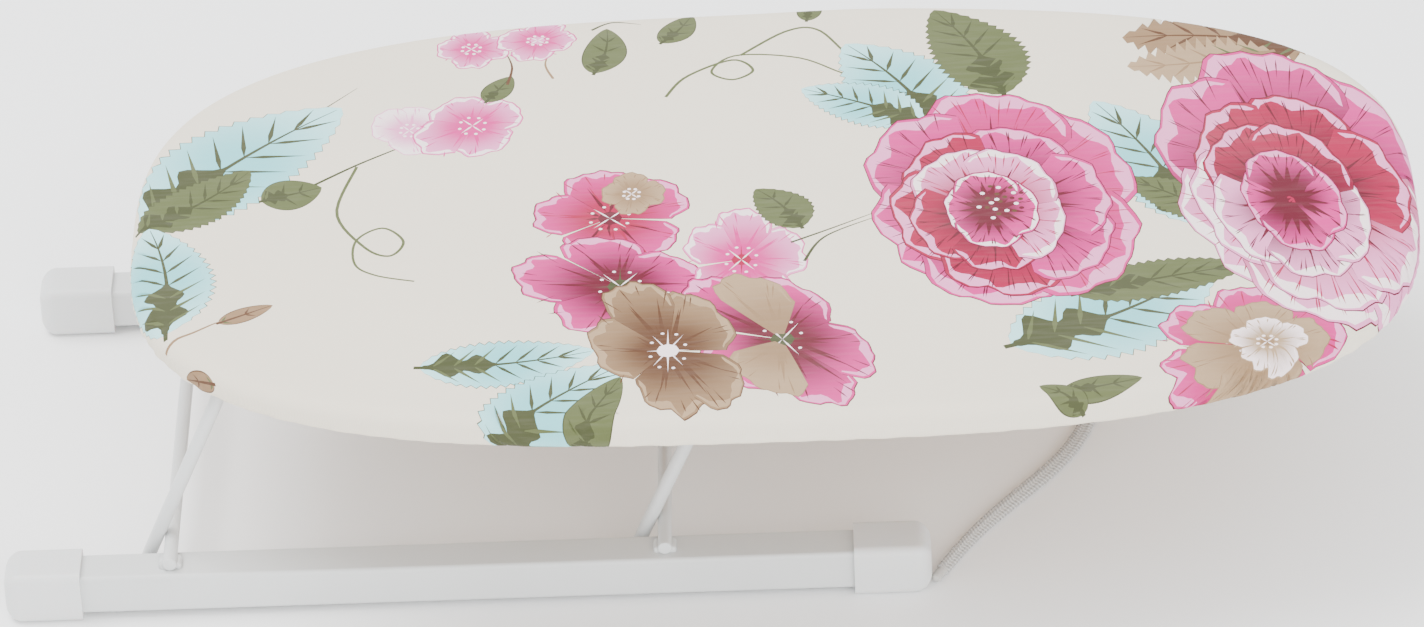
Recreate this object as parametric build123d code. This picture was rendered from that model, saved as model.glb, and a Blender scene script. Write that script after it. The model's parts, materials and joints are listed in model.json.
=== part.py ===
from build123d import *
import math
import os

# Tabletop ironing board: a padded board on two folding wire legs over a base of two capped rails.
# Millimetres, +Z up, the feet on z = 0. X runs along the board, Y across it.
# The origin is on the floor, under the middle of the whole object's length.

# ---- driving dimensions -------------------------------------------------------------
# the board
board_length = 600.0
board_width = 350.0
outline_power = 2.9            # 2 is an ellipse, more is squarer
outline_points = 48
board_top = 132.6              # the ironing surface, above the floor
board_offset = 146.5           # middle of the board, ahead of the middle of the base
core_thickness = 9.0
pad_thickness = 4.8
pad_skirt = 4.3                # the pad round the edge of the core
cover_thickness = 1.2
cover_top_round = 7.0
cover_under_round = 4.5
cover_turn_under = 16.0        # from the board's edge to the end of the turned cloth

# the hem of the cover, with its drawcord
hem_width = 6.0
hem_height = 5.0
hem_cord_width = 2.8
hem_cord_height = 3.0

# the base
rail_spacing = 237.6           # middle to middle of the two rails
rail_size = 20.0
rail_wall = 1.5
rail_corner = 2.0
cap_wall = 2.9
cap_length = 35.8
cap_end_wall = 3.0
cap_long_round = 4.0
cap_end_round = 7.5
base_length = 429.2            # over the caps
cross_rod_overlap = 6.0        # past the middle of each rail
weld_radius = 2.2
weld_length = 9.0

# the legs
rod_diameter = 6.5
leg_lean = 24.0                # degrees past upright, towards the free end of the board
pivot_height = 13.0
left_pivot_inset = 64.3        # from the left end of the base
right_pivot_inset = 136.0      # from its right end
leg_half_width = 101.5         # middle of the leg's side wire, from the middle of the base
leg_foot_bend = 6.5
leg_top_bend = 12.0
leg_foot_reach = 5.0           # of the bent foot, past the inner face of the rail's wall

# the pivot blocks under the board
block_length = 15.0
block_width = 22.0
block_under_rod = 2.0
block_flange_length = 34.0
block_flange_thickness = 2.5
block_half_spacing = 50.0
screw_spacing = 25.0
screw_shank = 3.5
screw_head = 6.6
screw_head_height = 1.8
screw_bite = 6.0

# clearances
pivot_clearance = 0.05         # radial, leg foot in the rail and crossbar in the left blocks
open_pivot_clearance = 0.10    # radial, crossbar in the right blocks
stop_clearance = 0.10          # leg wire to the cross rod that it rests on
screw_clearance = 0.15         # radial, screw in its flange
hem_cord_clearance = 0.1
crossbar_clearance = 0.05      # crossbar to the bottom of the hem, in height

# the free end of the drawcord: a plain tube here
cord_diameter = 5.0
cord_tip_diameter = 4.6
cord_tip_length = 9.0

# ---- what follows from them ---------------------------------------------------------
base_x = -(board_offset + board_length / 2 - base_length / 2) / 2
board_x = base_x + board_offset
rail_y = rail_spacing / 2
cap_size = rail_size + 2 * cap_wall
rail_floor_gap = cap_wall
rail_middle = rail_floor_gap + rail_size / 2
rail_top = rail_floor_gap + rail_size
rail_length = base_length - 2 * cap_end_wall
left_pivot = left_pivot_inset - base_length / 2
right_pivot = base_length / 2 - right_pivot_inset
rail_inner_face = rail_y - rail_size / 2
rod_radius = rod_diameter / 2

pad_top = board_top - cover_thickness
core_top = pad_top - pad_thickness
core_bottom = core_top - core_thickness
cover_bottom = core_bottom - cover_thickness
hem_bottom = cover_bottom - hem_height
crossbar_height = hem_bottom - crossbar_clearance - rod_radius
crossbar_drop = core_bottom - crossbar_height

leg_rise = crossbar_height - pivot_height
leg_advance = leg_rise * math.tan(math.radians(leg_lean))
leg_length = leg_rise / math.cos(math.radians(leg_lean))
cross_rod_height = rail_top + rod_radius
cross_rod_ahead = (
    rod_diameter
    + stop_clearance
    + (cross_rod_height - pivot_height) * math.sin(math.radians(leg_lean))
) / math.cos(math.radians(leg_lean))
leg_foot_end = rail_inner_face + rail_wall + leg_foot_reach

os.makedirs("parts", exist_ok=True)


def save(shape, name):
    export_step(shape, f"parts/{name}.step")


def board_outline(inset):
    """The board's outline, set in from its edge by the same amount all round."""
    half_long = board_length / 2 - inset
    half_wide = board_width / 2 - inset
    points = []
    for i in range(outline_points):
        turn = 2 * math.pi * i / outline_points
        c, s = math.cos(turn), math.sin(turn)
        reach = (abs(c) ** outline_power + abs(s) ** outline_power) ** (-1 / outline_power)
        points.append((board_x + half_long * c * reach, half_wide * s * reach))
    return make_face(Spline(*points, periodic=True))


def board_slab(inset, bottom, top):
    return extrude(Pos(0, 0, bottom) * board_outline(inset), top - bottom)


def board_ring(outer_inset, inner_inset, bottom, top):
    inner = board_slab(inner_inset, bottom - 1, top + 1)
    return board_slab(outer_inset, bottom, top) - inner


def rounded_slab(inset, bottom, top, top_round, under_round):
    slab = board_slab(inset, bottom, top)
    slab = fillet(slab.edges().group_by(Axis.Z)[-1], top_round)
    return fillet(slab.edges().group_by(Axis.Z)[0], under_round)


# ---- the base -----------------------------------------------------------------------
def make_rail(side):
    """A square tube along X, with the holes for the two legs in its inner wall."""
    outside = RectangleRounded(rail_size, rail_size, rail_corner)
    bore_size = rail_size - 2 * rail_wall
    bore = RectangleRounded(bore_size, bore_size, rail_corner - rail_wall / 2)
    section = Plane.YZ * (outside - bore)
    tube = Pos(base_x, side * rail_y, rail_middle) * extrude(section, rail_length / 2, both=True)
    inner_wall = side * (rail_inner_face + rail_wall / 2)
    for pivot in (left_pivot, right_pivot):
        hole = Rot(90, 0, 0) * Cylinder(rod_radius + pivot_clearance, 3 * rail_wall)
        tube -= Pos(base_x + pivot, inner_wall, pivot_height) * hole
    return tube


def make_cap(end, side):
    """A foot cap: a sleeve over the rail's end, with a pillowed outer end."""
    box = Box(cap_length, cap_size, cap_size)
    box = fillet(box.edges().filter_by(Axis.X), cap_long_round)
    box = fillet(box.faces().sort_by(Axis.X)[-1].edges(), cap_end_round)
    pocket = extrude(Plane.YZ * RectangleRounded(rail_size, rail_size, rail_corner), cap_length)
    box -= Pos(-cap_length / 2 - cap_end_wall, 0, 0) * pocket
    if end < 0:
        box = Rot(0, 0, 180) * box
    middle = base_x + end * (base_length - cap_length) / 2
    return Pos(middle, side * rail_y, cap_size / 2) * box


def make_cross_rod(pivot):
    """A wire welded across both rails, which also stops the leg beside it."""
    rod = Cylinder(rod_radius, 2 * (rail_y + cross_rod_overlap))
    rod = fillet(rod.edges(), rod_radius / 5)
    return Pos(base_x + pivot + cross_rod_ahead, 0, cross_rod_height) * (Rot(90, 0, 0) * rod)


def make_weld(pivot, side, flank):
    """A bead in the groove between a cross rod and a rail's top."""
    bead = Cylinder(weld_radius, weld_length)
    bead = Rot(90, 0, 0) * fillet(bead.edges(), weld_radius * 0.8)
    x = base_x + pivot + cross_rod_ahead + flank * rod_radius
    bead = Pos(x, side * rail_y, rail_top + weld_radius / 3) * bead
    return bead - make_cross_rod(pivot) - rails[side]


sides = {-1: "front", 1: "back"}
ends = {-1: "left", 1: "right"}
pivots = {"left": left_pivot, "right": right_pivot}

rails = {side: make_rail(side) for side in sides}
for side, side_name in sides.items():
    save(rails[side], f"{side_name}_rail")
    for end, end_name in ends.items():
        save(make_cap(end, side), f"cap_{side_name}_{end_name}")

welds = []
for name, pivot in pivots.items():
    save(make_cross_rod(pivot), f"cross_rod_{name}")
    for side in sides:
        for flank in (-1, 1):
            welds.append(make_weld(pivot, side, flank))
save(Compound(welds), "cross_rod_welds")


# ---- the legs -----------------------------------------------------------------------
def make_leg(pivot):
    """One wire: feet bent outwards into the rails, side wires, and a crossbar on top."""
    foot_x = base_x + pivot
    top_x = foot_x + leg_advance
    corners = [
        (foot_x, -leg_foot_end, pivot_height),
        (foot_x, -leg_half_width, pivot_height),
        (top_x, -leg_half_width, crossbar_height),
        (top_x, leg_half_width, crossbar_height),
        (foot_x, leg_half_width, pivot_height),
        (foot_x, leg_foot_end, pivot_height),
    ]
    line = FilletPolyline(*corners, radius=[leg_foot_bend, leg_top_bend, leg_top_bend, leg_foot_bend])
    start = Plane(corners[0], z_dir=(0, 1, 0))
    return sweep(start * Circle(rod_radius), path=line)


for name, pivot in pivots.items():
    save(make_leg(pivot), f"{name}_leg")


# ---- the pivot blocks under the board -------------------------------------------------
def screw_places():
    """Each screw's place, pointing up into the core."""
    places = []
    for pivot in pivots.values():
        for side in sides:
            for flank in (-1, 1):
                x = base_x + pivot + leg_advance + flank * screw_spacing / 2
                places.append((x, side * block_half_spacing))
    return places


def make_block(pivot, side, clearance):
    """A moulded block, screwed under the core, that the leg's crossbar turns in."""
    x = base_x + pivot + leg_advance
    y = side * block_half_spacing
    depth = crossbar_drop + rod_radius + block_under_rod
    body = Box(block_length, block_width, depth)
    body = fillet(body.faces().sort_by(Axis.Z)[0].edges(), 2.0)
    body = Pos(x, y, core_bottom - depth / 2) * body
    flange = Box(block_flange_length, block_width, block_flange_thickness)
    flange = fillet(flange.edges().filter_by(Axis.Z), 3.0)
    body += Pos(x, y, core_bottom - block_flange_thickness / 2) * flange
    bore = Rot(90, 0, 0) * Cylinder(rod_radius + clearance, 2 * block_width)
    body -= Pos(x, y, crossbar_height) * bore
    hole = Cylinder(screw_shank / 2 + screw_clearance, 4 * block_flange_thickness)
    for flank in (-1, 1):
        body -= Pos(x + flank * screw_spacing / 2, y, core_bottom) * hole
    return body


def make_screw(x, y):
    head_top = core_bottom - block_flange_thickness
    head = Cylinder(screw_head / 2, screw_head_height)
    head = fillet(head.edges().sort_by(Axis.Z)[0], screw_head_height / 2)
    slot = Box(screw_head * 0.55, 0.9, 1.6) + Box(0.9, screw_head * 0.55, 1.6)
    head -= Pos(0, 0, -screw_head_height / 2) * slot
    shank = Cylinder(screw_shank / 2, block_flange_thickness + screw_bite)
    shank_middle = head_top + (block_flange_thickness + screw_bite) / 2
    return Pos(x, y, head_top - screw_head_height / 2) * head + Pos(x, y, shank_middle) * shank


for name, pivot in pivots.items():
    clearance = open_pivot_clearance if name == "right" else pivot_clearance
    for side, side_name in sides.items():
        save(make_block(pivot, side, clearance), f"pivot_block_{name}_{side_name}")
save(Compound([make_screw(x, y) for x, y in screw_places()]), "block_screws")


# ---- the board ----------------------------------------------------------------------
core = board_slab(cover_thickness + pad_skirt, core_bottom, core_top)
for x, y in screw_places():
    core -= Pos(x, y, core_bottom) * Cylinder(screw_shank / 2, 2 * screw_bite)
save(core, "board_core")

pad_envelope = rounded_slab(
    cover_thickness,
    core_bottom,
    pad_top,
    cover_top_round - cover_thickness,
    cover_under_round - cover_thickness,
)
save(pad_envelope - board_slab(cover_thickness + pad_skirt, core_bottom, core_top), "board_pad")

cover = rounded_slab(0, cover_bottom, board_top, cover_top_round, cover_under_round)
cover -= pad_envelope
cover -= board_slab(cover_turn_under, cover_bottom - 1, core_bottom)
save(cover, "board_cover")

# the hem is a channel of folded cloth under the turned edge, and the drawcord runs in it
hem_outer = cover_turn_under - hem_width / 2
hem_middle = hem_outer + hem_width / 2
groove_half = hem_cord_width / 2 + hem_cord_clearance
hem = board_ring(hem_outer, hem_outer + hem_width, hem_bottom, cover_bottom)
groove_bottom = cover_bottom - hem_cord_height - hem_cord_clearance
hem -= board_ring(hem_middle - groove_half, hem_middle + groove_half, groove_bottom, cover_bottom + 1)
save(hem, "cover_hem")

cord_half = hem_cord_width / 2
hem_cord_bottom = groove_bottom + hem_cord_clearance / 2
hem_cord = board_ring(
    hem_middle - cord_half, hem_middle + cord_half, hem_cord_bottom, hem_cord_bottom + hem_cord_height
)
save(hem_cord, "hem_drawcord")


# ---- the free end of the drawcord ---------------------------------------------------
# out of the hem at the back, down to the floor, under the board and to the front foot cap
lying = cord_diameter / 2 + 0.1
tail_route = [
    (190.0, 148.0, hem_bottom),
    (190.0, 148.0, 88.0),
    (189.6, 148.8, 63.0),
    (190.8, 146.4, 36.0),
    (191.2, 135.0, 11.0),
    (189.6, 111.0, lying),
    (186.6, 84.0, lying),
    (187.4, 57.0, lying),
    (184.0, 31.0, lying),
    (178.0, 5.0, lying),
    (168.6, -20.5, lying),
    (154.6, -42.5, lying),
    (138.8, -62.5, lying),
    (123.6, -82.5, lying),
    (111.4, -102.0, lying),
    (104.2, -116.0, lying),
]


def corner_radii(route):
    """The largest even arc that each corner's two runs allow."""
    radii = []
    for before, corner, after in zip(route, route[1:], route[2:]):
        run_in = Vector(*corner) - Vector(*before)
        run_out = Vector(*after) - Vector(*corner)
        half_turn = math.radians(run_in.get_angle(run_out)) / 2
        radii.append(0.45 * min(run_in.length, run_out.length) / math.tan(half_turn))
    return radii


radii = corner_radii(tail_route)
tail_line = FilletPolyline(*tail_route, radius=radii)
tail_start = Plane(tail_route[0], z_dir=tail_line % 0)
tail = sweep(tail_start * Circle(cord_diameter / 2), path=tail_line)
save(tail, "drawcord_tail")
print("cord radii", [round(r, 1) for r in radii])
section_volume = math.pi * (cord_diameter / 2) ** 2 * tail_line.length
print("cord length", round(tail_line.length, 1), "volume share", round(tail.volume / section_volume, 4))

tip = Pos(0, 0, cord_tip_length / 2) * Cylinder(cord_tip_diameter / 2, cord_tip_length)
tip = fillet(tip.edges().sort_by(Axis.Z)[-1], cord_tip_diameter / 3)
save(Plane(tail_route[-1], z_dir=tail_line % 1) * tip, "cord_tip")
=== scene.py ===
import json
import math

import bmesh
import bpy
import numpy as np
from mathutils import Matrix, Vector
from mathutils.geometry import delaunay_2d_cdt


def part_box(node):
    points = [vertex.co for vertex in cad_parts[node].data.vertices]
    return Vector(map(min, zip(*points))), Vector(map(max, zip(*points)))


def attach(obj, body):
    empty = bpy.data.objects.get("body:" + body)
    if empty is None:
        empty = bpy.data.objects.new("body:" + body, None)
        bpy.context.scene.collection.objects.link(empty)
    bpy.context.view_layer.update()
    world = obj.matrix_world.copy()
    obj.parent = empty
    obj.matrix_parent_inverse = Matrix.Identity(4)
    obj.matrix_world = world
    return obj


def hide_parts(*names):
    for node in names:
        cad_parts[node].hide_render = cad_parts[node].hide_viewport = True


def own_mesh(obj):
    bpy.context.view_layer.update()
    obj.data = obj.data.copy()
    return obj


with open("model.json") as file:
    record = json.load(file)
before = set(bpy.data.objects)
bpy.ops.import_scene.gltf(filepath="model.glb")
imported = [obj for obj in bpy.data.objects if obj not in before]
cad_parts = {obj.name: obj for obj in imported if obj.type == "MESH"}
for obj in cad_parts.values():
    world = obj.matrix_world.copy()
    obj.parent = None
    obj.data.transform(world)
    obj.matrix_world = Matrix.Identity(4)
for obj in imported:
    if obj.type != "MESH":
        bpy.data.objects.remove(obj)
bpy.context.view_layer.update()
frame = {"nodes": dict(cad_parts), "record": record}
nodes = frame["nodes"]

view = {
    "place": (0.057, -2.8866, 2.0089),  # metres
    "turn": -1.476,                     # degrees, left of straight across the board
    "down": 34.111,
    "roll": -2.787,
    "lens": 186.4,
    "shift": (0.0246, 0.0243),
}

board = {
    "middle": 0.03055,
    "halfLong": 0.3,
    "halfWide": 0.175,
    "squareness": 2.9,     # 2 is an ellipse
    "top": 0.1326,
    "bottom": 0.1164,
    "turnUnder": 0.016,
    "around": 720,         # mesh points round the outline
    "step": 0.0052,        # mesh spacing over the top
}

cloth = {
    "crown": 0.0006,       # rise of the pad in the middle
    "edgeRound": 0.0075,
    "underRound": 0.0048,
    "edgeDrop": 0.0005,    # how far the cloth has sunk by the time it turns over the edge
    "puckers": 118,        # gathers round the underside
    "puckerDepth": 0.0011,
    "thread": 0.00075,     # pitch of the weave
    "cream": (0.79, 0.72, 0.59),
}

paint = {"white": (0.60, 0.61, 0.605), "roughness": 0.38, "peel": 0.0014}
plastic = {"white": (0.66, 0.665, 0.66), "roughness": 0.42}


# ---- camera, floor and light ----------------------------------------------------------
def makeCamera():
    data = bpy.data.cameras.new("camera")
    data.lens = view["lens"]
    data.sensor_width = 36
    data.shift_x, data.shift_y = view["shift"]
    data.clip_end = 50
    turn, down, roll = (math.radians(view[k]) for k in ("turn", "down", "roll"))
    ahead = Vector((math.sin(turn) * math.cos(down), math.cos(turn) * math.cos(down), -math.sin(down)))
    right = Vector((math.cos(turn), -math.sin(turn), 0))
    up = right.cross(ahead)
    side = right * math.cos(roll) + up * math.sin(roll)
    top = up * math.cos(roll) - right * math.sin(roll)
    camera = bpy.data.objects.new("camera", data)
    camera.matrix_world = Matrix.Translation(view["place"]) @ Matrix((side, top, -ahead)).transposed().to_4x4()
    bpy.context.collection.objects.link(camera)
    bpy.context.scene.camera = camera


def makeLight(name, place, target, size, power):
    data = bpy.data.lights.new(name, "AREA")
    data.size = size
    data.energy = power
    light = bpy.data.objects.new(name, data)
    light.location = place
    light.rotation_euler = (Vector(target) - Vector(place)).to_track_quat("-Z", "Y").to_euler()
    bpy.context.collection.objects.link(light)


def makeStage():
    bm = bmesh.new()
    bmesh.ops.create_grid(bm, x_segments=1, y_segments=1, size=6)
    floor = bpy.data.objects.new("floor", bpy.data.meshes.new("floor"))
    bm.to_mesh(floor.data)
    bm.free()
    floor.data.materials.append(plainMaterial("floor paint", (0.96, 0.96, 0.96), 0.8))
    bpy.context.collection.objects.link(floor)
    makeLight("key", (-1.2, 0.4, 2.6), (0, 0, 0), 1.8, 105)
    makeLight("fill", (0.9, -2.4, 1.1), (0, 0, 0.04), 2.0, 62)
    world = bpy.data.worlds.new("studio")
    world.use_nodes = True
    world.node_tree.nodes["Background"].inputs["Color"].default_value = (0.97, 0.985, 1, 1)
    world.node_tree.nodes["Background"].inputs["Strength"].default_value = 2.0
    bpy.context.scene.world = world


# ---- materials ---------------------------------------------------------------------------
class Shader:
    """A material's node tree, with short calls to add and join its nodes."""

    def __init__(self, name):
        self.material = bpy.data.materials.new(name)
        self.material.use_nodes = True
        self.tree = self.material.node_tree
        self.bsdf = self.tree.nodes["Principled BSDF"]

    def put(self, target, value):
        if isinstance(value, bpy.types.NodeSocket):
            self.tree.links.new(value, target)
        elif isinstance(value, tuple) and len(value) == 3 and target.type == "RGBA":
            target.default_value = (*value, 1)
        else:
            target.default_value = value

    def add(self, kind, out=0, settings=None, **inputs):
        node = self.tree.nodes.new("ShaderNode" + kind)
        for key, value in (settings or {}).items():
            setattr(node, key, value)
        for key, value in inputs.items():
            if key.startswith("i") and key[1:].isdigit():
                self.put(node.inputs[int(key[1:])], value)
            else:
                self.put(node.inputs[key], value)
        return node.outputs[out]

    def math(self, operation, a, b=0.0):
        return self.add("Math", settings={"operation": operation}, i0=a, i1=b)

    def mix(self, share, a, b):
        return self.add("Mix", 2, {"data_type": "RGBA"}, i0=share, i6=a, i7=b)

    def place(self):
        return self.add("TexCoord", "Object")

    def noise(self, scale, detail=2.0, vector=None, roughness=0.5):
        at = vector or self.place()
        return self.add("TexNoise", 0, Vector=at, Scale=scale, Detail=detail, Roughness=roughness)

    def ramp(self, value, low, high, a=0.0, b=1.0):
        return self.add("MapRange", 0, i0=value, i1=low, i2=high, i3=a, i4=b)

    def bump(self, height, distance, strength=1.0, normal=None):
        node = self.add("Bump", 0, Height=height, Distance=distance, Strength=strength)
        if normal:
            self.put(node.node.inputs["Normal"], normal)
        return node

    def finish(self, **inputs):
        for key, value in inputs.items():
            self.put(self.bsdf.inputs[key.replace("_", " ")], value)
        return self.material


def plainMaterial(name, color, roughness):
    return Shader(name).finish(Base_Color=color, Roughness=roughness)


def powderCoat():
    s = Shader("white powder coat")
    peel = s.noise(1 / paint["peel"], 2.5)
    broad = s.noise(14, 3)
    shade = tuple(c * 0.955 for c in paint["white"])
    color = s.mix(s.ramp(broad, 0.35, 0.7), paint["white"], shade)
    rough = s.ramp(s.noise(60, 3), 0.3, 0.7, paint["roughness"] - 0.05, paint["roughness"] + 0.09)
    normal = s.bump(peel, 0.00010, 0.45)
    return s.finish(Base_Color=color, Roughness=rough, Normal=normal, Coat_Weight=0.15, Coat_Roughness=0.3)


def weldPaint():
    s = Shader("painted weld")
    ripple = s.noise(900, 3, roughness=0.7)
    color = s.mix(s.ramp(s.noise(220, 2), 0.4, 0.65), (0.54, 0.55, 0.545), (0.64, 0.65, 0.645))
    return s.finish(Base_Color=color, Roughness=0.36, Normal=s.bump(ripple, 0.0004, 0.8))


def mouldedPlastic(name, white, grain, roughness):
    s = Shader(name)
    spark = s.noise(grain, 2, roughness=0.6)
    cloud = s.noise(28, 3)
    color = s.mix(s.ramp(cloud, 0.3, 0.75), white, tuple(c * 0.965 for c in white))
    rough = s.ramp(spark, 0.3, 0.7, roughness - 0.04, roughness + 0.08)
    normal = s.bump(spark, 0.00006, 0.5)
    return s.finish(Base_Color=color, Roughness=rough, Normal=normal, Subsurface_Weight=0.12,
                    Subsurface_Scale=0.002)


def fibreboard():
    s = Shader("fibreboard")
    at = s.place()
    fibres = s.noise(900, 6, at, 0.75)
    drift = s.noise(35, 4, at)
    color = s.mix(s.ramp(fibres, 0.32, 0.68), (0.30, 0.19, 0.105), (0.50, 0.35, 0.215))
    color = s.mix(s.ramp(drift, 0.3, 0.75, 0.0, 0.45), color, (0.42, 0.29, 0.17))
    return s.finish(Base_Color=color, Roughness=0.72, Normal=s.bump(fibres, 0.00018, 0.6))


def zincPlate():
    s = Shader("zinc plate")
    spangle = s.add("TexVoronoi", 0, Vector=s.place(), Scale=1800)
    color = s.mix(spangle, (0.60, 0.60, 0.57), (0.74, 0.73, 0.69))
    rough = s.ramp(s.noise(700, 3), 0.3, 0.7, 0.24, 0.42)
    return s.finish(Base_Color=color, Metallic=1.0, Roughness=rough)


def wovenHeight(s, at, pitch):
    """Over and under of a plain weave, from 0 to 1, in the two directions of at."""
    apart = s.add("SeparateXYZ", "X", Vector=at).node
    turns = 2 * math.pi / pitch
    across = s.math("SINE", s.math("MULTIPLY", apart.outputs["X"], turns))
    along = s.math("SINE", s.math("MULTIPLY", apart.outputs["Y"], turns))
    return s.ramp(s.math("MULTIPLY", across, along), -1.0, 1.0)


def printedCotton():
    s = Shader("printed cotton")
    at = s.place()
    ink = s.add("Attribute", "Color", {"attribute_name": "print"})
    woven = wovenHeight(s, at, cloth["thread"])
    slub = s.noise(420, 3, s.add("Mapping", 0, Vector=at, Scale=(0.12, 1, 1)))
    # painted shade: the ink is darkened up to 9% toward near-black where the weave dips, in the hollows between
    # threads
    color = s.mix(s.ramp(woven, 0.0, 1.0, 0.09, 0.0), ink, (0.10, 0.08, 0.06))
    color = s.mix(s.ramp(slub, 0.45, 0.75, 0.0, 0.022), color, (0.93, 0.88, 0.80))
    color = s.mix(s.ramp(s.noise(9, 3, at), 0.35, 0.7, 0.0, 0.05), color, (0.40, 0.36, 0.31))
    creases = s.noise(38, 3, at, 0.6)
    normal = s.bump(creases, 0.0011, 0.35)
    normal = s.bump(woven, 0.00012, 0.55, normal)
    return s.finish(Base_Color=color, Roughness=0.9, Specular_IOR_Level=0.18, Sheen_Weight=0.05, Sheen_Roughness=0.5,
                    Normal=normal)


def plainCotton(name, color, pitch):
    s = Shader(name)
    at = s.place()
    woven = wovenHeight(s, at, pitch)
    # painted shade: a darker copy of the colour, laid in the hollows of the weave
    shade = tuple(c * 0.72 for c in color)
    ink = s.mix(s.ramp(woven, 0.0, 1.0, 0.35, 0.0), color, shade)
    ink = s.mix(s.ramp(s.noise(60, 3, at), 0.4, 0.7, 0.0, 0.25), ink, tuple(c * 0.9 for c in color))
    return s.finish(Base_Color=ink, Roughness=0.9, Sheen_Weight=0.2,
                    Normal=s.bump(woven, pitch * 0.25, 0.6))


def needledFelt():
    s = Shader("needled felt")
    fibres = s.noise(700, 6, roughness=0.8)
    color = s.mix(s.ramp(fibres, 0.3, 0.7), (0.55, 0.53, 0.49), (0.72, 0.70, 0.66))
    return s.finish(Base_Color=color, Roughness=0.95, Normal=s.bump(fibres, 0.0006, 0.7))


def braidedCotton():
    """A flat braid: slanted strands that change hands along the middle of the cord."""
    s = Shader("braided cotton")
    uv = s.add("UVMap", "UV", {"uv_map": "braid"})
    apart = s.add("SeparateXYZ", "X", Vector=uv).node
    u, v = apart.outputs["X"], apart.outputs["Y"]
    fold = s.math("ABSOLUTE", s.math("SUBTRACT", s.math("FRACT", s.math("MULTIPLY", u, 2.0)), 0.5))
    lean = s.math("MULTIPLY", fold, 0.0052)
    strand = s.math("SINE", s.math("MULTIPLY", s.math("ADD", v, lean), 2 * math.pi / 0.0021))
    cross = s.math("SINE", s.math("MULTIPLY", fold, 2 * math.pi * 5.0))
    height = s.math("ADD", strand, s.math("MULTIPLY", cross, 0.45))
    hair = s.noise(1600, 4, roughness=0.75)
    # painted shade and painted highlight: the grooves between strands are painted dark and the crests light,
    # following the strand height
    color = s.mix(s.ramp(height, -1.3, 1.2), (0.22, 0.21, 0.20), (0.56, 0.545, 0.52))
    color = s.mix(s.ramp(hair, 0.4, 0.72, 0.0, 0.4), color, (0.84, 0.81, 0.78))
    normal = s.bump(height, 0.0003, 0.75)
    normal = s.bump(hair, 0.00022, 0.5, normal)
    return s.finish(Base_Color=color, Roughness=0.92, Sheen_Weight=0.3, Normal=normal)


materials = {}


def assign(piece, name):
    piece.data.materials.clear()
    piece.data.materials.append(materials[name])


def dressNodes():
    materials.update({
        "painted_steel": powderCoat(),
        "weld": weldPaint(),
        "cap_plastic": mouldedPlastic("cap plastic", plastic["white"], 1300, plastic["roughness"]),
        "block_plastic": mouldedPlastic("block plastic", (0.62, 0.62, 0.61), 800, 0.5),
        "zinc_screw": zincPlate(),
        "board_panel": fibreboard(),
        "felt_pad": needledFelt(),
        "printed_cotton": printedCotton(),
        "cotton_binding": plainCotton("cotton binding", (0.76, 0.70, 0.60), 0.0009),
        "cotton_cord": braidedCotton(),
        "whipping": plainCotton("whipping thread", (0.50, 0.48, 0.45), 0.0006),
    })
    for part in frame["record"]["subparts"]:
        node = nodes[part["node"]]
        name = "weld" if part["node"] == "cross_rod_welds" else part["material_slot"]
        for i in range(max(1, len(node.material_slots))):
            if node.material_slots:
                node.material_slots[i].material = materials[name]
            else:
                node.data.materials.append(materials[name])


# ---- the flower print ----------------------------------------------------------------------------
ink = {
    "green": (0.042, 0.052, 0.016),
    "sage": (0.085, 0.105, 0.036),
    "aqua": (0.19, 0.58, 0.62),
    "mist": (0.42, 0.78, 0.80),
    "tan": (0.255, 0.155, 0.080),
    "sand": (0.37, 0.25, 0.145),
    "brown": (0.085, 0.032, 0.012),
    "blush": (0.80, 0.27, 0.52),
    "pink": (0.60, 0.022, 0.22),
    "hot": (0.33, 0.0, 0.046),
    "wine": (0.10, 0.0, 0.014),
    "white": (0.95, 0.80, 0.82),
}


def soft(value, low, high):
    t = np.clip((value - low) / (high - low), 0, 1)
    return t * t * (3 - 2 * t)


def crosses(points):
    """True if an outline runs over itself."""
    a, b = points, np.roll(points, -1, axis=0)
    c, d = a[:, None], b[:, None]

    def turns(p, q, r):
        return (q[..., 0] - p[..., 0]) * (r[..., 1] - p[..., 1]) - (q[..., 1] - p[..., 1]) * (r[..., 0] - p[..., 0])

    split = turns(c, d, a[None]) * turns(c, d, b[None]) < 0
    split &= turns(a[None], b[None], c) * turns(a[None], b[None], d) < 0
    return bool(split.any())


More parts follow.
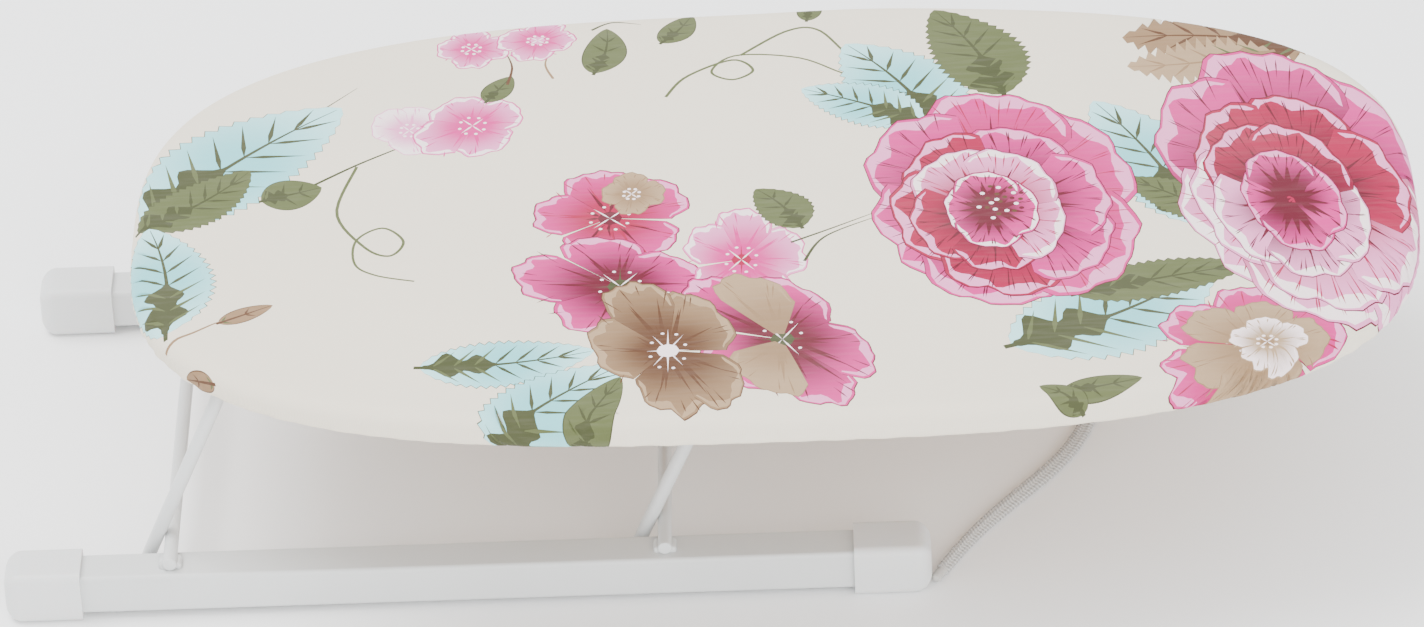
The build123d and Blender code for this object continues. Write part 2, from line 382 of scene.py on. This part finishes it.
class Print:
    """A stack of flat shapes on the cloth, in millimetres from the board's middle; the last one on top shows."""

    def __init__(self):
        self.shapes = []       # outlines
        self.inks = []         # ink at the centre, ink at the rim, centre, reach of the fade

    def lay(self, points, color, rim=None, centre=(0, 0), reach=1.0):
        points = np.asarray(points, float)
        points = points[np.linalg.norm(points - np.roll(points, 1, axis=0), axis=1) > 0.05]
        if len(points) < 3 or crosses(points):
            return
        following = np.roll(points, -1, axis=0)
        area = np.sum(points[:, 0] * following[:, 1] - following[:, 0] * points[:, 1]) / 2
        if abs(area) > 0.03:
            self.shapes.append(points if area > 0 else points[::-1])
            self.inks.append((*ink[color], *ink[rim or color], *centre, reach))

    def stroke(self, points, width, color, taper=1.0):
        """A brush line along a smooth curve through its points, thinning to its end."""
        given = np.array(points, float)
        at = np.linspace(0, len(given) - 1, 6 * len(given))
        i = np.clip(at.astype(int), 0, len(given) - 2)
        t = (at - i)[:, None]
        before, after = given[np.maximum(i - 1, 0)], given[np.minimum(i + 2, len(given) - 1)]
        a, b = given[i], given[i + 1]
        curve = 0.5 * (2 * a + (b - before) * t + (2 * before - 5 * a + 4 * b - after) * t ** 2
                       + (3 * a - before - 3 * b + after) * t ** 3)
        ahead = np.gradient(curve, axis=0)
        ahead /= np.maximum(np.linalg.norm(ahead, axis=1), 1e-6)[:, None]
        side = np.stack([-ahead[:, 1], ahead[:, 0]], 1)
        half = (width / 2 * (1 - taper * (at / at[-1]) ** 1.5) + 0.12)[:, None]
        for k in range(len(curve) - 1):
            self.lay([curve[k] - side[k] * half[k], curve[k + 1] - side[k + 1] * half[k + 1],
                      curve[k + 1] + side[k + 1] * half[k + 1], curve[k] + side[k] * half[k]], color)

    def dash(self, a, b, width, color):
        """One short stroke, widest near its start and pointed at both ends."""
        a, b = np.array(a, float), np.array(b, float)
        ahead = b - a
        side = np.array([-ahead[1], ahead[0]]) / max(np.hypot(*ahead), 1e-6) * width / 2
        self.lay([a, a + ahead * 0.3 - side, b, a + ahead * 0.3 + side], color)

    def dot(self, x, y, radius, color):
        turn = np.linspace(0, 2 * math.pi, 8, endpoint=False)
        self.lay(np.stack([x + radius * np.cos(turn), y + radius * np.sin(turn)], 1), color)

    def leaf(self, x, y, length, width, angle, bend=0.15, body="aqua", vein="green", shade="green", teeth=0.07,
             veins=7):
        a = math.radians(angle)
        turn = np.array([[math.cos(a), math.sin(a)], [-math.sin(a), math.cos(a)]])

        def put(u, v):
            return np.stack([u * length / 2, (v + bend * (u * u - 0.4)) * width / 2], -1) @ turn + (x, y)

        def edge(u):
            return np.clip(1 - u * u, 0, 1) ** 0.72 * (1 - 0.22 * u)

        u = np.linspace(-1, 1, 4 * veins + 9)
        rough = edge(u) * (1 + teeth * np.where(np.arange(len(u)) % 2, 1, -1))
        for grow, color, rim in ((1.0 + 1.1 / width, vein, vein), (1.0, body, "mist" if body == "aqua" else body)):
            both = [put(u, rough * grow), put(u[::-1], -rough[::-1] * grow)]
            self.lay(np.concatenate(both), color, rim, (x, y), length * 0.5)
        base = u[u < -0.05]      # the darker part of the leaf, near its stalk
        wave = edge(base) * (0.62 + 0.30 * np.sin(16 * base)) * soft(-base, -0.05, 0.6)
        self.lay(np.concatenate([put(base, wave), put(base[::-1], -wave[::-1] * 0.7)]), shade)
        for k in range(veins):
            start = -0.86 + 1.66 * k / veins
            stop = start + 0.30
            for side in (1, -1):
                reach = edge(np.array([stop]))[0] * 0.86 * side
                a1, b1 = put(np.array([start, stop]), np.array([0.0, reach]))
                self.dash(a1, b1, 1.0 + width / 42, vein if start > -0.35 else "sage")
        spine = np.linspace(-1.06, 0.96, 9)
        self.stroke(put(spine, spine * 0), 0.9 + width / 30, vein)

    def petal(self, place, rx, ry, angle, spread, near, far, inner, outer, rim, fold="wine", ruffle=0.035, seed=0.0,
              strokes=9, notch=0.30):
        """One petal of a flower, from share near of the flower's radius out to share far."""
        c, s = math.cos(math.radians(place[2])), math.sin(math.radians(place[2]))

        def put(r, t):
            u, v = r * np.cos(t) * rx, r * np.sin(t) * ry
            return np.stack([place[0] + u * c - v * s, place[1] + u * s + v * c], -1)

        size = math.sqrt(rx * ry)
        w = np.linspace(-1, 1, 19)
        lip = 1 - notch * np.abs(w) ** 2.6 - 0.07 * np.exp(-(w / 0.22) ** 2) * math.cos(3 * seed) ** 2
        lip = lip + ruffle * np.sin(9 * w + seed) + ruffle * 0.6 * np.sin(17 * w + 2 * seed)
        side = near + (far - near) * (1 - notch) * np.array([0.0, 0.2, 0.5, 0.8])
        opening = np.array([0.97, 1.0, 1.0, 0.99])

        def shape(grow):
            left = put(side, angle - spread * opening - grow / size)
            top = put(near + (far - near) * lip + grow / size, angle + spread * w)
            right = put(side[::-1], angle + spread * opening[::-1] + grow / size)
            return np.concatenate([left, top, right])

        heart = put(np.array([near]), np.array([angle]))[0]
        reach = np.linalg.norm(put(np.array([far]), np.array([angle]))[0] - heart)
        self.lay(shape(0.55), fold)
        self.lay(shape(0.0), inner, outer, heart, reach)
        # a pale lip, torn on its inner side
        depth = 0.02 + 0.13 * np.abs(np.sin(4 * w + seed)) * (1 - w * w) ** 0.5
        outside = put(near + (far - near) * (lip - 0.015), angle + spread * 0.93 * w)
        inside = put(near + (far - near) * (lip - depth), angle + spread * 0.88 * w)
        self.lay(np.concatenate([outside, inside[::-1]]), rim)
        for k in range(strokes):      # long brush marks from the heart
            at = -0.8 + 1.6 * (k + 0.5 * math.sin(seed + 2 * k)) / max(strokes - 1, 1)
            low = near + (far - near) * 0.06
            high = near + (far - near) * (0.50 + 0.27 * math.sin(1.7 * k + seed))
            ends = put(np.array([low, high]), angle + spread * at * np.array([0.45, 0.86]))
            self.dash(ends[0], ends[1], 0.8 + size / 34, fold if k % 3 == 1 else inner)
        for k in range(strokes - 2):      # fine hatching in from the lip
            at = -0.75 + 1.5 * (k + 0.4 * math.cos(seed + 3 * k)) / max(strokes - 3, 1)
            ends = put(near + (far - near) * np.array([0.93, 0.66 - 0.1 * math.sin(2.3 * k + seed)]),
                       angle + spread * at * np.array([0.95, 0.80]))
            self.dash(ends[0], ends[1], 0.75, inner)

    def ring(self, place, rx, ry, count, near, far, inner, outer, rim, fold="wine", turn=0.0, ruffle=0.03, strokes=9,
             crowd=1.18, dark=None, notch=0.30):
        for k in range(count):
            seed = 1.7 * k + turn
            angle = 2 * math.pi * k / count + turn + 0.08 * math.sin(5 * seed)
            reach = far * (1 + 0.07 * math.sin(3 * seed + 1))
            inks = (inner, outer, rim)
            if dark is not None and math.cos(angle + math.radians(place[2] - dark)) > 0.25:
                inks = ("wine", "pink" if far > 0.9 else "hot", "blush")
            self.petal(place, rx, ry, angle, math.pi / count * crowd, near, reach, *inks, fold, ruffle, seed, strokes,
                       notch)

    def bloom(self, x, y, rx, ry, angle, count, inner, outer, rim, eye="brown", fold="wine"):
        """A small open flower."""
        place = (x, y, angle)
        self.ring(place, rx, ry, count, 0.08, 1.0, inner, outer, rim, fold, math.radians(angle), 0.03, 6, 1.05)
        self.dot(x, y, 0.13 * rx + 1, eye)
        for k in range(8):
            a = 2 * math.pi * k / 8
            tip = (x + 0.30 * rx * math.cos(a), y + 0.30 * ry * math.sin(a))
            self.dash((x, y), tip, 0.9, "white" if k % 2 else eye)
            self.dot(x + 0.25 * rx * math.cos(a + 0.3), y + 0.25 * ry * math.sin(a + 0.3), 0.9, "white")

    def peony(self, x, y, rx, ry, angle, dark, layers):
        """Rings of ruffled petals, each over the dark fold of the one outside it, deepest toward dark."""
        for k, (far, count, inner, outer, rim) in enumerate(layers):
            lean = (x + 0.09 * rx * math.sin(k * 1.9), y + 0.06 * ry * math.cos(k * 1.4), angle)
            self.ring(lean, rx, ry, count, 0.12 * far, far, inner, outer, rim, "wine", 0.9 * k + 0.3, 0.022, 13, 1.32,
                      dark if k < 3 else None, 0.20)


def paintFlowers():
    p = Print()
    # the free corner by the left end: two large leaves, a fallen bud and pale sweet peas
    p.stroke([(-292, -6), (-270, 30), (-236, 70), (-198, 114)], 2.2, "green")
    p.leaf(-252, 50, 132, 62, 48, -0.2)
    p.leaf(-270, 18, 70, 32, 44, 0.25, "sage", "green")
    p.leaf(-283, -46, 88, 42, 98, 0.2)
    p.stroke([(-282, -98), (-268, -92), (-256, -84), (-246, -80)], 1.4, "tan")
    p.leaf(-243, -78, 28, 10, 28, 0, "tan", "brown", "tan", 0, 2)
    p.leaf(-268, -118, 22, 8, 150, 0, "tan", "brown", "tan", 0, 2)
    p.stroke([(-222, 24), (-198, 44), (-178, 58), (-166, 66)], 1.4, "green")
    p.leaf(-226, 22, 30, 25, 20, 0, "sage", "green", "green", 0, 3)
    p.stroke([(-196, 44), (-204, 4), (-190, -26), (-178, -34), (-172, -22), (-182, -10), (-194, -20), (-194, -40),
              (-184, -50), (-166, -56)], 1.3, "sage", 0.4)
    p.bloom(-172, 74, 17, 22, 20, 3, "blush", "white", "white", "blush", "blush")
    p.bloom(-142, 76, 25, 30, -30, 4, "pink", "blush", "white", "pink", "pink")
    p.leaf(-130, 108, 26, 13, 62, 0, "sage", "green", "green", 0, 2)
    p.stroke([(-126, 112), (-124, 128), (-128, 144)], 1.3, "brown")
    p.stroke([(-104, 116), (-108, 130), (-104, 146)], 1.1, "tan")
    p.bloom(-144, 146, 18, 19, 0, 4, "pink", "blush", "white", "pink", "pink")
    p.bloom(-112, 152, 20, 17, 40, 4, "pink", "blush", "white", "blush", "pink")
    # loose leaves and a curling tendril along the back
    p.leaf(-80, 140, 42, 20, 82, 0.25, "sage", "green", "green", 0, 4)
    p.stroke([(-86, 160), (-76, 167), (-62, 164)], 1.2, "green")
    p.leaf(-44, 158, 30, 15, 60, 0.2, "sage", "green", "green", 0, 3)
    p.leaf(20, 170, 20, 11, 80, 0, "sage", "green", "green", 0, 2)
    p.stroke([(-50, 96), (-40, 114), (-18, 128), (-8, 118), (-18, 110), (-28, 118), (-16, 132), (14, 128), (36, 112),
              (52, 106)], 1.3, "sage", 0.4)
    p.stroke([(-14, 132), (8, 152), (24, 152), (40, 126), (58, 112)], 1.3, "sage", 0.4)
    # the cluster in the middle of the front
    p.leaf(-122, -124, 80, 34, 6, 0.2)
    p.leaf(-104, -160, 92, 40, 44, -0.2)
    p.leaf(-84, -166, 60, 20, 62, 0.1, "sage", "green", "green", 0, 5)
    p.bloom(-76, -8, 37, 40, 15, 5, "hot", "pink", "blush", "wine")
    p.bloom(-71, -66, 38, 52, 50, 5, "wine", "pink", "blush", "green")
    p.bloom(-66, 12, 15, 18, 0, 4, "tan", "sand", "sand", "tan", "tan")
    p.bloom(-15, -47, 29, 43, 5, 5, "pink", "blush", "white", "hot", "pink")
    p.bloom(3, -114, 36, 62, 35, 5, "wine", "pink", "blush", "green")
    p.petal((3, -114, 35), 36, 62, 1.1, 0.6, 0.1, 0.98, "tan", "sand", "sand", "tan", 0.03, 0.4, 6)
    p.petal((3, -114, 35), 36, 62, 3.6, 0.6, 0.1, 0.92, "tan", "sand", "sand", "tan", 0.03, 1.4, 6)
    p.bloom(-49, -120, 33, 58, 20, 5, "brown", "tan", "sand", "white", "brown")
    p.stroke([(14, -50), (24, -30), (50, -14)], 1.3, "green")
    p.stroke([(8, -34), (26, -24), (50, -10)], 1.1, "green")
    p.leaf(4, -4, 40, 24, 122, 0.2, "sage", "green", "green", 0.05, 4)
    # leaves round the first peony
    p.leaf(62, 98, 96, 52, 118, 0.2)
    p.leaf(44, 84, 66, 34, 150, 0.1)
    p.leaf(98, 128, 84, 42, 112, 0.2, "sage", "green")
    p.leaf(178, 26, 118, 46, 112, 0.2)
    p.leaf(190, -8, 62, 26, 140, 0.1, "sage", "green")
    p.leaf(156, -98, 112, 60, 32, 0.2)
    p.leaf(178, -74, 84, 28, 14, -0.1, "sage", "green")
    p.leaf(146, -158, 38, 14, 14, 0.1, "sage", "green", "green", 0, 3)
    p.leaf(130, -164, 28, 11, 150, 0.1, "sage", "green", "green", 0, 3)
    p.peony(104, -9, 64, 92, 8, 215, [
        (1.00, 6, "hot", "pink", "blush"), (0.80, 6, "wine", "pink", "blush"), (0.58, 5, "hot", "blush", "white"),
        (0.34, 4, "wine", "pink", "white")])
    for k in range(30):
        a, r = 2.4 * k, 2.1 * math.sqrt(k)
        p.dot(106 + r * math.cos(a), -6 + 1.3 * r * math.sin(a), 1.25, ("brown", "white", "wine")[k % 3])
    # the second peony, over the right end
    p.leaf(216, 132, 92, 50, 172, 0.2, "tan", "brown", "brown", 0.3, 6)
    p.leaf(206, 112, 70, 34, 188, -0.2, "sand", "tan", "tan", 0.3, 5)
    p.bloom(214, -134, 46, 50, 12, 6, "hot", "pink", "blush", "sand")
    p.bloom(218, -132, 34, 37, 40, 6, "tan", "sand", "sand", "sand", "tan")
    p.bloom(222, -128, 18, 19, 10, 5, "sand", "white", "white", "tan", "sand")
    p.peony(244, -8, 62, 120, 12, 75, [
        (1.00, 6, "hot", "blush", "white"), (0.80, 6, "hot", "blush", "white"), (0.58, 5, "wine", "blush", "white"),
        (0.36, 4, "wine", "pink", "blush")])
    return p


# ---- the board's soft pieces ------------------------------------------------------------------
def edgeAt(turn, inset):
    """The board's edge, set in by inset, from the board's middle."""
    c, s = np.cos(turn), np.sin(turn)
    n = board["squareness"]
    reach = (np.abs(c) ** n + np.abs(s) ** n) ** (-1 / n)
    return np.stack([(board["halfLong"] - inset) * c * reach, (board["halfWide"] - inset) * s * reach], 1)


def outline(count, inset):
    """The same edge as points round the board, with how far round each is."""
    turn = np.linspace(0, 2 * math.pi, count, endpoint=False)
    edge = edgeAt(turn, inset)
    return board["middle"] + edge[:, 0], edge[:, 1], turn


def skin(name, rings, capFirst=False, closed=False):
    """A mesh through rings of points: each ring is joined to the next, and the first may close on its middle."""
    bm = bmesh.new()
    rows = [[bm.verts.new(co) for co in ring] for ring in rings]
    pairs = list(zip(rows, rows[1:])) + ([(rows[-1], rows[0])] if closed else [])
    for a, b in pairs:
        count = len(a)
        for i in range(count):
            j = (i + 1) % count
            bm.faces.new((a[i], b[i], b[j], a[j]))
    if capFirst:
        middle = bm.verts.new(np.mean([v.co for v in rows[0]], axis=0))
        for i, v in enumerate(rows[0]):
            bm.faces.new((v, rows[0][(i + 1) % len(rows[0])], middle))
    if closed:
        bmesh.ops.recalc_face_normals(bm, faces=bm.faces)
    mesh = bpy.data.meshes.new(name)
    bm.to_mesh(mesh)
    bm.free()
    mesh.shade_smooth()
    piece = bpy.data.objects.new(name, mesh)
    bpy.context.collection.objects.link(piece)
    return piece


def pleats(turn, count, seed):
    """Uneven gathers round the board, from -1 to 1."""
    drift = 1.6 * np.sin(3 * turn + seed) + 1.1 * np.sin(7 * turn + 2 * seed)
    return 0.6 * np.sin(count * turn + drift * 2) + 0.4 * np.sin(int(count * 0.61) * turn - drift * 3)


def ripple(x, y):
    """Slack in the cloth over the top, in metres."""
    return 0.00022 * (np.sin(19 * x + 7 * y) * np.cos(23 * y - 3 * x) + 0.6 * np.sin(41 * y + 13 * x))


def overEdge():
    """The way from the flat top over the edge and in under the board: how far along, inset and height."""
    r, under = cloth["edgeRound"], cloth["underRound"]
    top, bottom = board["top"] - cloth["edgeDrop"], board["bottom"]
    a = np.linspace(0, math.pi / 2, 12)
    inset = np.concatenate([r * (1 - np.sin(a)), under * (1 - np.cos(a)), [board["turnUnder"]]])
    height = np.concatenate([top - r * (1 - np.cos(a)), bottom + under * (1 - np.sin(a)), [bottom - 0.001]])
    along = np.concatenate([[0], np.cumsum(np.hypot(np.diff(inset), np.diff(height)))])
    return along, inset, height


def layOver(flat):
    """Where each point of the flat sheet comes to lie on the board."""
    along, inset, height = overEdge()
    r = cloth["edgeRound"]
    turn = np.arctan2(flat[:, 1] / (board["halfWide"] - r), flat[:, 0] / (board["halfLong"] - r))
    rim = edgeAt(turn, r)
    rimFar, far = np.linalg.norm(rim, axis=1), np.linalg.norm(flat, axis=1)
    past = np.maximum(far - rimFar, 0)
    hang = np.clip(past / along[-1], 0, 1)
    here = np.interp(past, along, inset)
    over = edgeAt(turn, here)
    spot = np.where((past > 0)[:, None], over, flat)
    z = np.interp(past, along, height)
    # slack, a low lump where the cord's channel bunches at the back, and gathers that deepen underneath
    gather = pleats(turn, cloth["puckers"], 0.7) * cloth["puckerDepth"] * soft(hang, 0.22, 0.75)
    lump = np.exp(-((spot[:, 0] - 0.045) / 0.05) ** 2) * (flat[:, 1] > 0)
    near = np.exp(-np.abs(far - rimFar) / 0.012)
    size = np.linalg.norm(spot, axis=1)
    out = gather + 0.0016 * lump * near * (1 - hang)
    spot = spot * (1 + out / np.maximum(size, 0.02))[:, None]
    share = np.clip(far / rimFar, 0, 1)
    inside = 1 - np.exp(-np.maximum(rimFar - far, 0) / 0.006)
    z = z + (cloth["edgeDrop"] + cloth["crown"] * (1 - share ** 2)) * inside
    z = z + ripple(spot[:, 0], spot[:, 1]) * (1 - hang) + 0.0013 * lump * near * (1 - hang) + 0.35 * gather
    return np.stack([spot[:, 0] + board["middle"], spot[:, 1], z], 1)


def makeCover():
    along = overEdge()[0]
    stack = paintFlowers()
    turn = np.linspace(0, 2 * math.pi, board["around"], endpoint=False)
    rim = edgeAt(turn, cloth["edgeRound"])
    outward = rim / np.linalg.norm(rim, axis=1)[:, None]
    hem = rim + outward * along[-1]
    step = board["step"]
    gx, gy = np.meshgrid(np.arange(-board["halfLong"], board["halfLong"], step),
                         np.arange(-board["halfWide"], board["halfWide"], step * 0.87))
    gx[1::2] += step / 2
    grid = np.stack([gx.ravel(), gy.ravel()], 1)
    turns = np.arctan2(grid[:, 1] / board["halfWide"], grid[:, 0] / board["halfLong"])
    grid = grid[np.linalg.norm(grid, axis=1) < np.linalg.norm(edgeAt(turns, cloth["edgeRound"]), axis=1) - 0.003]
    points, faces = [hem], [list(range(len(hem)))]
    points += [rim + outward * s for s in np.linspace(-0.0015, along[-1], 20)[:-1]] + [grid]
    count = sum(len(p) for p in points)
    for shape in stack.shapes:
        points.append(shape / 1000)
        faces.append(list(range(count, count + len(shape))))
        count += len(shape)
    corners = [Vector(p) for p in np.concatenate(points)]
    flat, _, tris, _, _, owners = delaunay_2d_cdt(corners, [], faces, 1, 1e-7, True)
    shown = [(t, max(o)) for t, o in zip(tris, owners) if 0 in o]
    flat = np.array([tuple(v) for v in flat])
    tris = np.array([t for t, _ in shown])
    top = np.array([o for _, o in shown])
    used = np.unique(tris)
    index = np.zeros(len(flat), int)
    index[used] = np.arange(len(used))
    flat, tris = flat[used], index[tris]
    mesh = bpy.data.meshes.new("cottonCover")
    mesh.from_pydata(layOver(flat).tolist(), [], tris.tolist())
    # each corner takes the ink of the shape on top, faded from its centre to its rim
    table = np.array([(*cloth["cream"], *cloth["cream"], 0, 0, 1.0)] + stack.inks)[np.repeat(top, 3)]
    corner = flat[tris.ravel()] * 1000
    fade = soft(np.linalg.norm(corner - table[:, 6:8], axis=1) / table[:, 8], 0.15, 0.95)[:, None]
    color = np.ones((len(corner), 4), np.float32)
    color[:, :3] = table[:, :3] + (table[:, 3:6] - table[:, :3]) * fade
    layer = mesh.color_attributes.new("print", "FLOAT_COLOR", "CORNER")
    layer.data.foreach_set("color", color.ravel())
    mesh.shade_smooth()
    mesh.update()
    cover = bpy.data.objects.new("cottonCover", mesh)
    bpy.context.collection.objects.link(cover)
    assign(cover, "printed_cotton")
    print("cover of", len(tris), "faces,", len(stack.shapes), "printed shapes")
    return cover


def tubeRing(name, inset, z, wide, high, around, sides, gather, seed):
    """A closed tube that follows the board's outline, its thickness gathered unevenly."""
    x, y, turn = outline(around, inset)
    xo, yo, _ = outline(around, inset - 0.001)
    nx, ny = xo - x, yo - y
    length = np.hypot(nx, ny)
    nx, ny = nx / length, ny / length
    swell = 1 + gather * pleats(turn, cloth["puckers"], seed)
    rings = []
    for k in range(sides):
        a = 2 * math.pi * k / sides
        out = wide / 2 * math.cos(a) * swell
        rings.append(np.stack([x + nx * out, y + ny * out, z + high / 2 * math.sin(a) * (2 - swell)], 1))
    return skin(name, rings, closed=True)


def makeHem():
    low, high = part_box("cover_hem")
    middle = (low[2] + high[2]) / 2
    hem = tubeRing("coverHem", board["turnUnder"], middle, 0.0058, 0.0049, 760, 14, 0.10, 0.7)
    assign(hem, "cotton_binding")
    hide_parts("cover_hem")
    cord = tubeRing("hemCord", board["turnUnder"], middle, 0.0026, 0.0026, 240, 8, 0, 0)
    assign(cord, "cotton_cord")
    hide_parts("hem_drawcord")
    return hem, cord


def makeStitches():
    """Short stitches that close the hem to the turned cloth, one row round the underside."""
    bm = bmesh.new()
    count = 300
    x, y, _ = outline(count, 0.0118)
    for i in range(count):
        j = (i + 1) % count
        a, b = Vector((x[i], y[i], board["bottom"] - 0.0010)), Vector((x[j], y[j], board["bottom"] - 0.0010))
        along = (b - a)
        made = bmesh.ops.create_icosphere(bm, subdivisions=1, radius=0.0004)["verts"]
        turn = along.to_track_quat("X", "Z").to_matrix()
        for v in made:
            v.co = turn @ Vector((v.co.x * along.length * 0.68 / 0.0008, v.co.y, v.co.z)) + (a + b) / 2
    stitches = bpy.data.objects.new("hemStitches", bpy.data.meshes.new("hemStitches"))
    bm.to_mesh(stitches.data)
    bm.free()
    stitches.data.shade_smooth()
    bpy.context.collection.objects.link(stitches)
    assign(stitches, "cotton_binding")
    return stitches


def makePad():
    """The felt over the panel and round its edge, a closed shell just inside the cover."""
    low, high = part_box("board_pad")
    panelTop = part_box("board_core")[1][2]
    around, skirt = 220, 0.0059
    rings = []
    for share in (0.12, 0.35, 0.6, 0.82, 0.95):
        x, y, _ = outline(around, 0.008)
        height = high[2] - 0.0006 + 0.0004 * (1 - share ** 2)
        rings.append(np.stack([board["middle"] + (x - board["middle"]) * share, y * share, x * 0 + height], 1))
    for inset, z in ((0.0075, high[2] - 0.0010), (0.0035, high[2] - 0.0030), (0.0020, high[2] - 0.0065),
                     (0.0020, low[2] + 0.0035), (0.0034, low[2] + 0.0012), (skirt, low[2] + 0.0004),
                     (skirt, panelTop + 0.0002)):
        x, y, _ = outline(around, inset)
        rings.append(np.stack([x, y, x * 0 + z], 1))
    for share in (0.8, 0.5, 0.12):
        x, y, _ = outline(around, skirt)
        x = board["middle"] + (x - board["middle"]) * share
        rings.append(np.stack([x, y * share, x * 0 + panelTop + 0.0002], 1))
    pad = skin("feltPad", rings, closed=True)
    assign(pad, "felt_pad")
    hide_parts("board_pad")
    return pad


# ---- the loose end of the drawcord ---------------------------------------------------------------
cord = {
    "width": 0.0070,
    "thick": 0.0040,
    "sides": 16,
    "flatTurn": -10,       # degrees of lean where it lies flat
    "endTurn": -36,         # and near its end, where it stands on its edge
    "tipLength": 0.009,
    "route": [
        (0.1900, 0.1480, 0.1136), (0.1900, 0.1480, 0.0880), (0.1896, 0.1488, 0.0630), (0.1908, 0.1550, 0.0350),
        (0.1912, 0.1440, 0.0080), (0.1896, 0.1180, 0.0022), (0.1866, 0.0860, 0.0024), (0.1874, 0.0570, 0.0024),
        (0.1840, 0.0310, 0.0025), (0.1780, 0.0050, 0.0026), (0.1686, -0.0205, 0.0028), (0.1546, -0.0425, 0.0031),
        (0.1388, -0.0625, 0.0032), (0.1236, -0.0825, 0.0032), (0.1114, -0.1020, 0.0031), (0.1036, -0.1168, 0.0030),
    ],
}


def cordPath():
    curve = bpy.data.curves.new("cordLine", "CURVE")
    curve.dimensions = "3D"
    curve.resolution_u = 24
    spline = curve.splines.new("NURBS")
    spline.points.add(len(cord["route"]) - 1)
    for point, place in zip(spline.points, cord["route"]):
        point.co = (*place, 1)
    spline.order_u = 3
    spline.use_endpoint_u = True
    holder = bpy.data.objects.new("cordLine", curve)
    mesh = bpy.data.meshes.new_from_object(holder)
    points = np.array([v.co for v in mesh.vertices])
    bpy.data.meshes.remove(mesh)
    bpy.data.objects.remove(holder)
    bpy.data.curves.remove(curve)
    return points


def makeCord():
    path = cordPath()
    steps = np.linalg.norm(np.diff(path, axis=0), axis=1)
    along = np.concatenate([[0], np.cumsum(steps)])
    ahead = np.gradient(path, axis=0)
    ahead /= np.linalg.norm(ahead, axis=1)[:, None]
    share = along / along[-1]
    lean = np.radians(cord["flatTurn"] + (cord["endTurn"] - cord["flatTurn"]) * soft(share, 0.62, 0.9))
    bm = bmesh.new()
    uvLayer = bm.loops.layers.uv.new("braid")
    rows = []
    across = np.array([1.0, 0, 0])
    for i, centre in enumerate(path):
        across = across - ahead[i] * (across @ ahead[i])
        across /= np.linalg.norm(across)
        up = np.cross(across, ahead[i])
        up = up if up[2] >= 0 or share[i] < 0.3 else -up
        wide = across * math.cos(lean[i]) + up * math.sin(lean[i])
        high = up * math.cos(lean[i]) - across * math.sin(lean[i])
        width = cord["width"] * (1.08 - 0.20 * soft(share[i:i + 1], 0.75, 1.0)[0])
        row = []
        for k in range(cord["sides"]):
            a = 2 * math.pi * k / cord["sides"]
            dent = 1 - 0.16 * math.exp(-((math.cos(a)) / 0.25) ** 2)     # the braid is thinner along its middle
            offset = wide * (width / 2 * math.cos(a)) + high * (cord["thick"] / 2 * math.sin(a) * dent)
            spot = centre + offset
            spot[2] = max(spot[2], 0.0001)
            row.append(bm.verts.new(spot))
        rows.append(row)
    for i in range(len(rows) - 1):
        for k in range(cord["sides"]):
            j = (k + 1) % cord["sides"]
            face = bm.faces.new((rows[i][k], rows[i][j], rows[i + 1][j], rows[i + 1][k]))
            uvs = ((k, i), (k + 1, i), (k + 1, i + 1), (k, i + 1))
            for loop, (u, v) in zip(face.loops, uvs):
                loop[uvLayer].uv = (u / cord["sides"], along[v])
    bm.faces.new(rows[0])
    bm.faces.new(list(reversed(rows[-1])))
    bmesh.ops.recalc_face_normals(bm, faces=bm.faces)
    piece = bpy.data.objects.new("braidedCord", bpy.data.meshes.new("braidedCord"))
    bm.to_mesh(piece.data)
    bm.free()
    piece.data.shade_smooth()
    bpy.context.collection.objects.link(piece)
    assign(piece, "cotton_cord")
    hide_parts("drawcord_tail")
    return piece, path, along[-1], ahead[-1]


def makeTip(end, ahead):
    """The whipped end of the cord: close turns of thread round it, and a rounded tuft."""
    ahead = np.array([ahead[0], ahead[1], 0.0])
    ahead /= np.linalg.norm(ahead)
    side, up = np.array([-ahead[1], ahead[0], 0.0]), np.array([0, 0, 1.0])
    rings = []
    count = 46
    for k in range(count):
        t = k / (count - 1)
        rounding = math.sqrt(max(1 - max(0, (t - 0.8) / 0.2) ** 2, 0.02))
        radius = 0.00215 * (1 + 0.07 * math.sin(2 * math.pi * 9 * t)) * rounding
        a = np.linspace(0, 2 * math.pi, 20, endpoint=False)[:, None]
        centre = end + ahead * (t * cord["tipLength"] - 0.0008)
        rings.append(centre + side * np.cos(a) * radius * 1.08 + up * np.sin(a) * radius)
    tip = skin("cordTip", list(reversed(rings)), capFirst=True)
    assign(tip, "whipping")
    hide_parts("cord_tip")
    return tip


# ---- everything together -------------------------------------------------------------------------
makeCamera()
makeStage()
dressNodes()
print("stage and materials done")

cordPiece, path, length, ahead = makeCord()
tip = makeTip(path[-1], ahead)
print("cord done", round(length, 4))

cover = makeCover()
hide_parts("board_cover")
hem, hemCord = makeHem()
stitches = makeStitches()
pad = makePad()
print("board done")

for piece, slotName in (
    (cover, "printed_cotton"), (hem, "cotton_binding"), (hemCord, "cotton_cord"), (stitches, "cotton_binding"),
    (pad, "felt_pad"), (cordPiece, "cotton_cord"), (tip, "cotton_cord"),
):
    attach(piece, "board")

# the tail sinks with the board as the legs fold; each piece gets its own copy of its mesh
for piece in (cordPiece, tip):
    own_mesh(piece)
